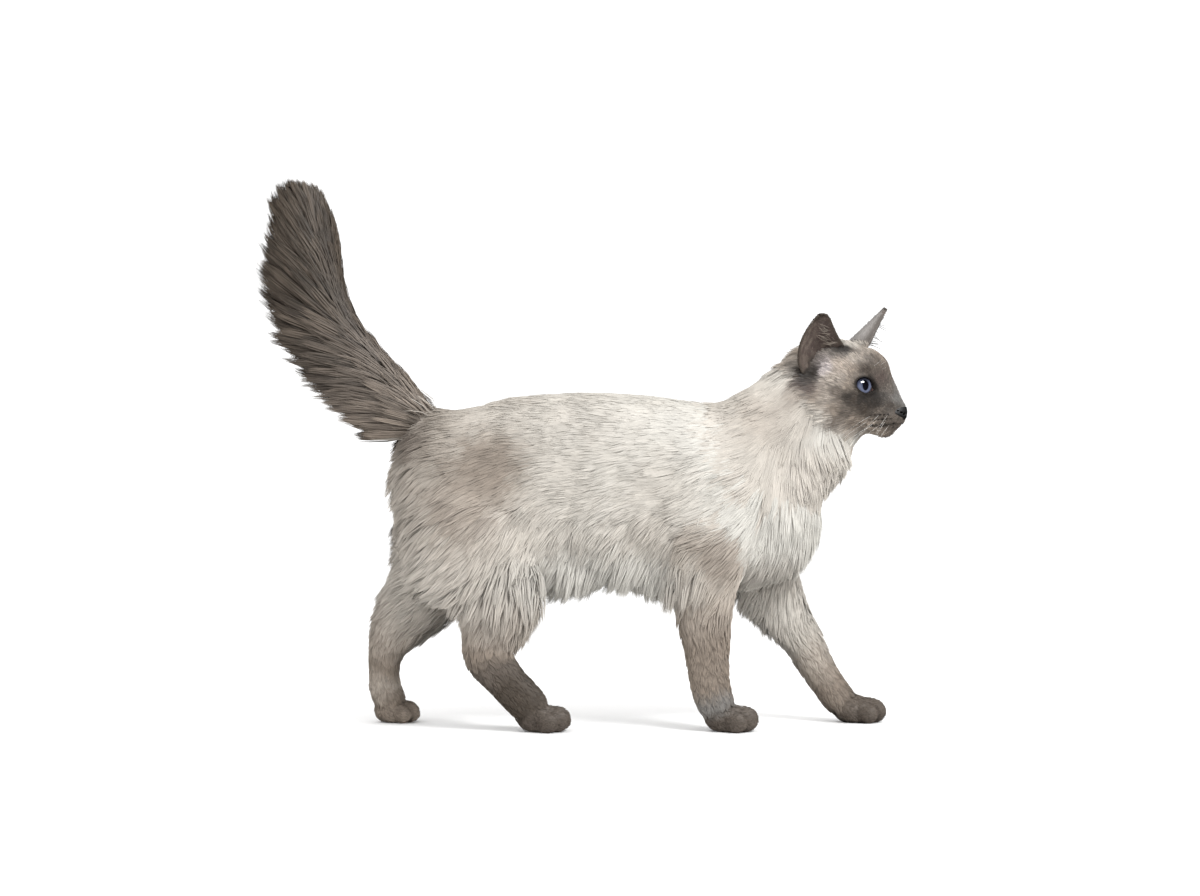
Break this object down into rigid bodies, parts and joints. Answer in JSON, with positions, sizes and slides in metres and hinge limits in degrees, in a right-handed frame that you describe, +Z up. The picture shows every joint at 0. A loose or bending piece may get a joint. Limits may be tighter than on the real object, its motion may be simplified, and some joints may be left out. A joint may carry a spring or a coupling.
{
  "type": "balinese cat model",
  "caption": "Life-size still model of a walking long-haired cat with raised plumed tail and blue eyes.",
  "frame": {"origin": "on the floor under the middle of the cat's overall box", "axes": "+X forward along the body to the nose, +Y to the cat's left, +Z up"},
  "size_m": [0.5445, 0.1267, 0.4673],
  "materials": {
    "coat_cream": "soft long hair",
    "coat_point": "soft long hair",
    "coat_smoke": "short hair",
    "nose_leather": "fine pebbled, moist",
    "eye": "wet gloss"
  },
  "bodies": {
    "root": {"head": "coat_cream", "nose": "nose_leather", "ear_right": "coat_smoke", "ear_left": "coat_smoke", "eye_right": "eye", "eye_left": "eye", "neck": "coat_cream", "chest": "coat_cream", "belly": "coat_cream", "rump": "coat_cream", "tail_base": "coat_point", "tail_middle": "coat_point", "tail_tip": "coat_point", "fore_arm_right": "coat_smoke", "fore_shank_right": "coat_smoke", "fore_paw_right": "coat_point", "fore_arm_left": "coat_smoke", "fore_shank_left": "coat_smoke", "fore_paw_left": "coat_point", "hind_thigh_right": "coat_cream", "hind_shank_right": "coat_smoke", "hind_foot_right": "coat_smoke", "hind_paw_right": "coat_point", "hind_thigh_left": "coat_cream", "hind_shank_left": "coat_smoke", "hind_foot_left": "coat_smoke", "hind_paw_left": "coat_point"}
  },
  "joints": []
}
